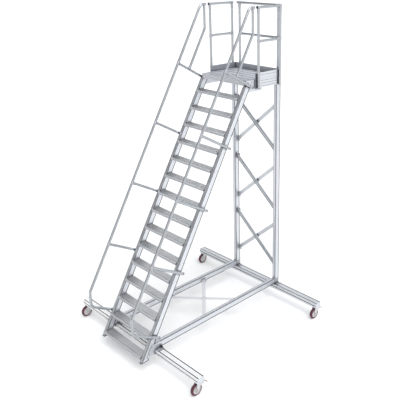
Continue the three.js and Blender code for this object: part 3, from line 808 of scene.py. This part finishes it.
# ---- Platform ----
def add_deck():
    front = FRONT_BEAM_HIGH.y + GAP
    shoulder = SIDE_LOW.y
    rear_planks = 4
    plank = (DECK_REAR_Y - shoulder) / rear_planks
    rows = [(front, shoulder, 0.455)]
    for k in range(rear_planks):
        rows.append((shoulder + k * plank, shoulder + (k + 1) * plank, SIDE_LOW.x - 0.0006))
    planks = Shape()
    for start, end, half in rows:
        depth = end - start - 0.0012
        section = plank_section(depth, 0.04, 0.005, 0.004, (0.33 * depth, 0.67 * depth), 0.0125, ())
        planks.extrude(section, along_x(start, DECK_Z), -half, half)
    make("deck_planks", planks, DECK, replaces=["platform_deck"])

    low, high = FRONT_BEAM_LOW, FRONT_BEAM_HIGH
    section = rectangle(
        high.y - low.y,
        high.z - low.z,
        0.003,
        [("left", place, 0.004, 0.003) for place in (-0.02, 0.0, 0.02)]
        + [("high", place, 0.004, 0.002) for place in (-0.013, -0.004, 0.005, 0.014)],
    )
    beam = Shape().extrude(section, along_x((low.y + high.y) / 2, (low.z + high.z) / 2), low.x, high.x)
    make("platform_front_profile", beam, FASCIA, replaces=["platform_front_beam"])


def board_section(width, height, outer, grooves, corner=0.0015):
    return rectangle(width, height, corner, [(outer, place, 0.005, 0.004) for place in grooves])


def add_boards():
    """Side boards and rear beam, the toe boards on them with their dark linings, partly painted shade, and
    the boards' end caps.
    """
    width = SIDE_HIGH.x - SIDE_LOW.x
    toe_width = width - 0.003
    height = SIDE_HIGH.z - SIDE_LOW.z
    toe_low = DECK_Z + GAP
    toe_height = TOE_HIGH - toe_low
    board_z, toe_z = (SIDE_LOW.z + SIDE_HIGH.z) / 2, toe_low + toe_height / 2
    board_grooves, toe_grooves = (0.035, -0.005, -0.045), (0.008,)
    lining_and_shade_levels = ((toe_low, toe_low + 0.04), (toe_low + 0.043, TOE_HIGH - 0.002))
    y0, y1 = SIDE_LOW.y, SIDE_HIGH.y
    for name, side in SIDES:
        x = side * (SIDE_LOW.x + SIDE_HIGH.x) / 2
        section = board_section(width, height, name, board_grooves)
        beam = Shape().extrude(section, along_y(x, board_z), y0 + 0.002, y1 - 0.002)
        make("side_board_" + name, beam, PROFILES["y"], replaces=["platform_side_beam_" + name])
        section = board_section(toe_width, toe_height, name, toe_grooves)
        toe = Shape().extrude(section, along_y(x + side * 0.0015, toe_z), y0 + 0.002, y1 - 0.002)
        make("toe_board_profile_" + name, toe, PROFILES["y"], replaces=["toe_board_" + name])
        lining_and_shade, caps = Shape(), Shape()
        inner = side * SIDE_LOW.x
        for z0, z1 in lining_and_shade_levels:
            lining_and_shade.block((inner, y0 + 0.004, z0), (inner + side * 0.0025, y1 - width - 0.001, z1))
        make("toe_board_liner_and_shade_" + name, lining_and_shade, LININGS_AND_SHADE["side"], bevel=0.0005)
        cap = rectangle(width - 0.004, TOE_HIGH - SIDE_LOW.z + 0.004, 0.003)
        for start, end in ((y0 - 0.003, y0 + 0.004), (y1 - 0.006, y1 + 0.002)):
            caps.extrude(cap, along_y(x + side * 0.003, (SIDE_LOW.z + TOE_HIGH) / 2), start, end)
        make("board_end_caps_" + name, caps, CHARCOAL, bevel=0.001)

    half = REAR_BEAM_HIGH.x
    depth = REAR_BEAM_HIGH.y - REAR_BEAM_LOW.y
    section = board_section(depth, height, "right", board_grooves, 0.002)
    beam = Shape().extrude(section, along_x(REAR_BEAM_LOW.y + depth / 2, board_z), -half, half)
    make("rear_beam_profile", beam, PROFILES["x"], replaces=["platform_rear_beam"])
    section = board_section(toe_width, toe_height, "right", toe_grooves)
    toe = Shape().extrude(section, along_x(y1 - toe_width / 2, toe_z), -half, half)
    make("toe_board_profile_rear", toe, PROFILES["x"], replaces=["toe_board_rear"])
    lining_and_shade = Shape()
    for z0, z1 in lining_and_shade_levels:
        lining_and_shade.block((0.001 - half, y1 - width, z0), (half - 0.001, y1 - width + 0.0028, z1))
    make("toe_board_liner_and_shade_rear", lining_and_shade, LININGS_AND_SHADE["rear"], bevel=0.0005)


def add_gussets():
    """The plates that hang the platform's front on the stringer tops."""
    low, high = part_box("gusset_right")
    stringer_rear = STRINGER_OFFSET[1] - GAP
    seat = FRONT_BEAM_LOW.z
    under_deck = DECK_Z - 0.0406
    board_front = SIDE_LOW.y - 0.0005
    outline = [
        (slope_y(stringer_rear, low.z), low.z),
        (high.y - 0.012, low.z),
        (high.y, low.z + 0.012),
        (high.y, under_deck),
        (board_front, under_deck),
        (board_front, high.z),
        (low.y + 0.012, high.z),
        (low.y, high.z - 0.012),
        (low.y, seat),
        (slope_y(stringer_rear, seat), seat),
    ]
    bolted = [(SIDE_LOW.y + reach, low.z + 0.065) for reach in (0.03, 0.075, 0.12)]
    for offset, rise in ((-0.145, 0.02), (-0.165, 0.075)):
        bolted.append((slope_y(offset, low.z + rise), low.z + rise))
    for name, side in SIDES:
        inner, outer = side * low.x, side * high.x
        plate = Shape().plate(outline, inner, outer)
        make("gusset_plate_" + name, plate, PLATE, replaces=["gusset_" + name], bevel=0.001)
        bolts = Shape()
        for y, z in bolted:
            bolts.bolt((inner, y, z), (-side, 0, 0))
        for y in (low.y + 0.05, low.y + 0.13):
            bolts.bolt((outer, y, high.z - 0.035), (side, 0, 0))
        make("gusset_bolts_" + name, bolts, STEEL)


# ---- Railings ----
class Railing:
    """Round tubes with their sleeves or clamps, end plugs and screws."""

    def __init__(self):
        self.tubes = Shape()
        self.sleeves = Shape()
        self.plugs = Shape()
        self.screws = Shape()

    def make(self, prefix, sleeves, suffix, replaced):
        make(prefix + "_tubes" + suffix, self.tubes, TUBE, replaces=[replaced])
        make(prefix + sleeves + suffix, self.sleeves, CLAMP)
        make(prefix + "_plugs" + suffix, self.plugs, BLACK)
        make(prefix + "_screws" + suffix, self.screws, STEEL)


def build_railing(rail, base, along, out):
    """A top rail and a mid rail on two posts, with sleeves where they meet. Distances are along the rail."""
    base, along, out = Vector(base), Vector(along), Vector(out)
    mid, top = rail["mid"], RAIL_TOP_Z
    railing = Railing()
    tubes, sleeves, plugs, screws = railing.tubes, railing.sleeves, railing.plugs, railing.screws

    def at(reach, z):
        return base + along * reach + Vector((0, 0, z))

    tubes.tube(*(at(reach, top) for reach in rail["ends"]))
    tubes.tube(*(at(reach, mid) for reach in rail["posts"]))
    for post, inward in zip(rail["posts"], (1, -1)):
        tubes.tube(at(post, RAIL_FOOT_Z + 0.003), at(post, top))
        sleeves.sleeve(at(post, top - 0.085), at(post, top - 0.012))
        sleeves.sleeve(at(post - 0.026, top), at(post + rail["ahead"], top))
        sleeves.sleeve(at(post, mid - 0.027), at(post, mid + 0.027))
        sleeves.sleeve(at(post + inward * 0.018, mid), at(post + inward * 0.068, mid))
        plugs.sleeve(at(post, RAIL_FOOT_Z), at(post, RAIL_FOOT_Z + 0.006), TUBE_R + 0.0005, 0.001)
        for rise in (0.03, 0.105, 0.19):
            screws.button(at(post, RAIL_FOOT_Z + rise) + out * TUBE_R, out)
        if rail is SIDE_RAIL:
            screws.button(at(post, top - 0.06) + out * SLEEVE_R, out, 0.004)
            screws.button(at(post, mid) + out * SLEEVE_R, out, 0.005)
    for end, inward in list(zip(rail["ends"], (1, -1)))[: rail["plugs"]]:
        plugs.sleeve(at(end - inward * 0.004, top), at(end + inward * 0.006, top), TUBE_R + 0.0012, 0.003)
    return railing


def add_railings():
    for name, side in SIDES:
        railing = build_railing(SIDE_RAIL, (side * SIDE_RAIL_X, NOSE_Y, 0), (0, 1, 0), (side, 0, 0))
        railing.make("side_rail", "_sleeves", "_" + name, "side_railing_" + name)
    railing = build_railing(REAR_RAIL, (0, NOSE_Y + REAR_RAIL_Y, 0), (1, 0, 0), (0, 1, 0))
    railing.make("rear_rail", "_sleeves", "", "rear_railing")


def add_handrails():
    offset, first, pitch, tie_end = (HANDRAIL[key] for key in ("offset", "first", "pitch", "end"))
    foot_y = NOSE_Y + HANDRAIL_FOOT_Y
    knee_y = NOSE_Y + KNEE["y"]
    foot_offset = (first * math.cos(TILT) - HANDRAIL_FOOT_Y) / math.sin(TILT)
    ties = [first + (i + 1) * pitch for i in range(HANDRAIL["ties"])]
    block = [(-0.013, -0.013), (0.013, -0.013), (0.013, 0.013), (-0.013, 0.013)]
    for name, side in SIDES:
        x = side * HANDRAIL["x"]
        railing = Railing()
        tubes, clamps, plugs = railing.tubes, railing.sleeves, railing.plugs

        def at(along, stand):
            return on_slope(x, along, stand)

        tip = Vector((x, NOSE_Y + HANDRAIL_TIP_Y, HANDRAIL_TOP_Z))
        rail = [
            at(first, tie_end),
            at(first, foot_offset),
            (x, foot_y, slope_z(foot_y, offset)),
            (x, slope_y(offset, HANDRAIL_TOP_Z), HANDRAIL_TOP_Z),
            tip,
        ]
        tubes.tube(*rounded_route(rail, HANDRAIL_BEND))
        plugs.sleeve(tip - Vector((0, 0.006, 0)), tip + Vector((0, 0.004, 0)), TUBE_R + 0.0004, 0.003)
        for place in [first] + ties:
            end = at(place, tie_end)
            into = (at(place, 0) - end).normalized()
            plugs.sleeve(end - into * 0.004, end + into * 0.012, TUBE_R + 0.0008, 0.003)
            for stand in (STRINGER_OFFSET[0] - 0.022, STRINGER_OFFSET[1] + 0.022):
                seat = at(place, stand)
                clamps.sleeve(seat - into * 0.013, seat + into * 0.013, CLAMP_R)
                clamps.extrude(block, lambda a, b, c: on_slope(c, place + a, stand + b), side * OUTER_X, x)
                railing.screws.button(seat + Vector((side * CLAMP_R, 0, 0)), (side, 0, 0))
        for place in ties:
            tubes.tube(at(place, offset), at(place, tie_end))
            clamps.sleeve(at(place, offset - 0.05), at(place, offset - 0.015), CLAMP_R)
            clamps.sleeve(at(place - 0.025, offset), at(place + 0.025, offset), CLAMP_R)
        head = Vector((x, knee_y, HANDRAIL_TOP_Z))
        bend = Vector((x, knee_y, slope_z(knee_y, KNEE["offset"])))
        foot = at(ties[-1], KNEE["offset"])
        tubes.tube(*rounded_route([head, bend, foot], KNEE_BEND))
        clamps.sleeve(head - Vector((0, 0, 0.06)), head - Vector((0, 0, 0.016)), TUBE_R + 0.0018)
        uphill = (bend - foot).normalized()
        clamps.sleeve(foot + uphill * 0.016, foot + uphill * 0.07, TUBE_R + 0.0018)
        railing.make("handrail", "_clamps", "_" + name, "handrail_" + name)


# ---- Casters ----
def add_fork(place, axle, king_y, pin):
    """A pressed fork with its bearing race, axle bolt and the pin that the brake pedal turns on."""
    crown_top = CROWN_Z + 0.005
    cheek = [(king_y + 0.034, crown_top), (king_y - 0.044, crown_top), (king_y - 0.05, CROWN_Z - 0.004)]
    cheek += arc((axle.y, axle.z), 0.018, 172, 333, 10)
    cheek += [(king_y + 0.014, 0.138), (pin[0] - 0.006, pin[1] - 0.0115)]
    cheek += arc(pin, 0.012, -75, 90, 8)
    boss = arc((axle.y, axle.z), 0.0126, 0, 345, 23)
    fork, bolts = Shape(), Shape()
    for side in (-1, 1):
        out = Vector((side, 0, 0))
        fork.plate(cheek, axle.x + side * 0.029, axle.x + side * 0.0325)
        fork.plate(boss, axle.x + side * 0.032, axle.x + side * 0.0342)
        bolts.bolt(axle + out * 0.0338, out, 0.0075)
        bolts.turned([(0, 0), (0.0045, 0), (0.0045, 0.0055), (0, 0.0065)], axle + out * 0.034, out, 16)
        bolts.button((axle.x + side * 0.0323, *pin), out)
    crown = rectangle(0.066, 0.084, 0.008)
    fork.extrude(crown, along_z(axle.x, king_y - 0.005), CROWN_Z, crown_top)
    race = [(0, 0), (0.036, 0), (0.038, 0.0015), (0.038, 0.003)]
    race += [(0.0365, 0.0036), (0.0375, 0.0042), (0.036, 0.0051), (0, 0.0051)]
    fork.turned(race, (axle.x, king_y, crown_top), UP, 48)
    bolts.turned(rod(0.0098, 0.067), axle - Vector((0.0335, 0, 0)), (1, 0, 0), 24)
    bolts.turned(rod(0.0036, 0.062), (axle.x - 0.031, *pin), (1, 0, 0), 16)
    body = "caster_" + place
    make("fork_pressing_" + place, fork, ZINC, body, ["caster_fork_" + place], 0.0008)
    make("fork_axle_bolts_" + place, bolts, STEEL, body)


def add_wheel(place, axle):
    """A tyre with a moulded line on each side, on a hub with a web and ribs."""
    low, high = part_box("caster_tyre_" + place)
    radius = (high.z - low.z) / 2
    half = (high.x - low.x) / 2
    core = 0.0622

    def turned(shape, profile):
        return shape.turned(profile, axle, (1, 0, 0), 72)

    def both_sides(profile):
        return profile + [(r, -reach) for r, reach in reversed(profile)]

    tread = [(core, 0.002 - half), (core + 0.002, -half), (radius - 0.013, 0.0005 - half)]
    tread += [(radius - 0.008, 0.002 - half), (radius - 0.0035, 0.006 - half)]
    tread += [(radius - 0.001, 0.012 - half), (radius, 0.018 - half)]
    tyre = turned(Shape(), both_sides(tread))
    line = [(radius - 0.018, half - 0.0004), (radius - 0.0165, half + 0.0006)]
    line += [(radius - 0.015, half - 0.0004), (radius - 0.0165, half - 0.002)]
    for side in (-1, 1):
        turned(tyre, [(r, side * reach) for r, reach in line])
    make("tyre_tread_" + place, tyre, TYRE, "wheel_" + place, ["caster_tyre_" + place])

    rim = [(0.0105, -0.026), (0.019, -0.026), (0.021, -0.024), (0.022, -0.011), (0.024, -0.008)]
    rim += [(0.05, -0.008), (0.054, -0.011), (0.055, -0.02), (0.0565, -0.0215)]
    rim += [(0.0605, -0.0215), (0.0617, -0.02)]
    hub = turned(Shape(), both_sides(rim))
    rib = [(-0.0016, -0.019), (0.0016, -0.019), (0.0016, 0.019), (-0.0016, 0.019)]
    ribs = 8
    for k in range(ribs):
        angle = 2 * math.pi * k / ribs
        out = Vector((0, math.cos(angle), math.sin(angle)))
        across = Vector((0, -math.sin(angle), math.cos(angle)))
        hub.extrude(rib, lambda a, b, c: axle + across * a + Vector((b, 0, 0)) + out * c, 0.02, 0.0555)
    make("hub_moulding_" + place, hub, HUB, "wheel_" + place, ["caster_hub_" + place])


def add_pedal(place, x, king_y, pin):
    """A brake pedal: a barrel on its pin, a bent lever, and a ribbed pad pushed over the lever's end."""
    body = "pedal_" + place
    pin_y, pin_z = pin
    bend_y, bend_z = king_y + 0.112, pin_z - 0.014
    tip_y, tip_z = king_y + 0.148, 0.108
    barrel = [(0.0043, -0.017), (0.0085, -0.017), (0.009, -0.0165)]
    barrel += [(0.009, 0.0165), (0.0085, 0.017), (0.0043, 0.017)]
    tongue = [
        (pin_y + 0.0045, pin_z + 0.0065),
        (pin_y + 0.0065, pin_z - 0.0055),
        (bend_y - 0.003, bend_z - 0.0055),
        (tip_y - 0.004, tip_z - 0.002),
        (tip_y + 0.0005, tip_z + 0.0012),
        (bend_y, bend_z),
    ]
    lever = Shape().turned(barrel, (x, *pin), (1, 0, 0), 24).plate(tongue, x - 0.0165, x + 0.0165)
    make("pedal_lever_" + place, lever, ZINC, body, ["caster_pedal_" + place], 0.0006)

    run = Vector((0, tip_y - bend_y, tip_z - bend_z))
    length = run.length
    down = run.normalized()
    up = Vector((0, -down.z, down.y))
    start = Vector((x, bend_y, bend_z)) + up * 0.0002
    top, sunk = 0.003, 0.0017
    section = [(0.001, -0.006), (length - 0.001, -0.006), (length, 0.001), (length - 0.002, top)]
    grooves = 5
    for k in range(grooves, 0, -1):
        centre = length * (k - 0.3) / grooves
        section += [(centre + 0.0015, top), (centre + 0.0008, sunk)]
        section += [(centre - 0.0008, sunk), (centre - 0.0015, top)]
    section.append((0.001, top))
    pad = Shape().extrude(
        section,
        lambda a, b, c: start + down * a + up * b + Vector((c, 0, 0)),
        -0.0175,
        0.0175,
    )
    make("pedal_pad_" + place, pad, PAD, body, bevel=0.0005)


def add_caster(place):
    low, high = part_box("caster_hub_" + place)
    axle = (low + high) / 2
    king_y = axle.y + CASTER_TRAIL
    pin = (king_y + PEDAL_PIN[0], PEDAL_PIN[1])
    add_fork(place, axle, king_y, pin)
    add_wheel(place, axle)
    add_pedal(place, axle.x, king_y, pin)


add_stringers()
add_treads()
add_traverse("front", TRAVERSE_LOW.y)
add_traverse("rear", REAR_TRAVERSE_Y)
add_base_beams()
add_front_brackets()
add_base_brace()
add_legs()
add_rear_braces()
add_deck()
add_boards()
add_gussets()
add_railings()
add_handrails()
for row in ("front", "rear"):
    for name, _ in SIDES:
        add_caster(row + "_" + name)


# ---- Studio ----
def add_floor():
    material, tree, shader = new_material("floor_paper")
    place = node(tree, "TexCoord").outputs["Object"]
    tint = graded_colour(tree, noise(tree, place, 0.8, 3.0), (0.93, 0.93, 0.93), 0.005)
    feed(tree, shader, {"Base Color": tint, "Roughness": 0.9, "Specular IOR Level": 0.1})
    half = 400.0
    mesh = bpy.data.meshes.new("studio_floor")
    corners = [(-half, -half, 0), (half, -half, 0), (half, half, 0), (-half, half, 0)]
    mesh.from_pydata(corners, [], [(0, 1, 2, 3)])
    mesh.materials.append(material)
    add_object("studio_floor", mesh)


def add_world():
    """A white surround. What it lights has a grey ceiling and one soft darker patch on the left in front."""
    world = bpy.data.worlds.new("studio")
    bpy.context.scene.world = world
    world.use_nodes = True
    tree = world.node_tree
    direction = node(tree, "TexCoord").outputs["Generated"]
    towards = Vector((-0.68, -0.70, 0.26)).normalized()
    pair = {0: direction, 1: towards}
    facing = node(tree, "VectorMath", pair, operation="DOT_PRODUCT").outputs["Value"]
    height = node(tree, "SeparateXYZ", {"Vector": direction}).outputs["Z"]
    patch = map_range(tree, facing, (0.72, 0.97), (1.0, 0.2), "SMOOTHSTEP")
    ceiling = map_range(tree, height, (0.55, 0.95), (1.05, 0.55), "SMOOTHSTEP")
    level = arithmetic(tree, "MULTIPLY", patch, ceiling)
    seen = node(tree, "LightPath").outputs["Is Camera Ray"]
    strength = map_range(tree, seen, (0.0, 1.0), (level, 1.05))
    feed(tree, tree.nodes["Background"], {"Strength": strength, "Color": (0.97, 0.985, 1.0, 1.0)})


def add_sun(name, towards, spread, power):
    data = bpy.data.lights.new(name, "SUN")
    data.angle = math.radians(spread)
    data.energy = power
    add_object(name, data).rotation_euler = (-Vector(towards)).to_track_quat("-Z", "Y").to_euler()


def add_camera():
    data = bpy.data.cameras.new("camera")
    data.lens = 53.85
    data.sensor_width = 36.0
    data.shift_x = -0.15
    data.shift_y = -0.11
    data.clip_end = 2000.0
    camera = add_object("camera", data)
    camera.location = (6.503, -5.325, 5.5)
    camera.rotation_euler = (math.radians(90 - 18.16), 0, math.radians(43.589))
    bpy.context.scene.camera = camera


add_floor()
add_world()
add_sun("key", (0.58, -0.15, 1.0), 50, 2.15)
add_camera()
bpy.context.scene.view_settings.view_transform = "Standard"
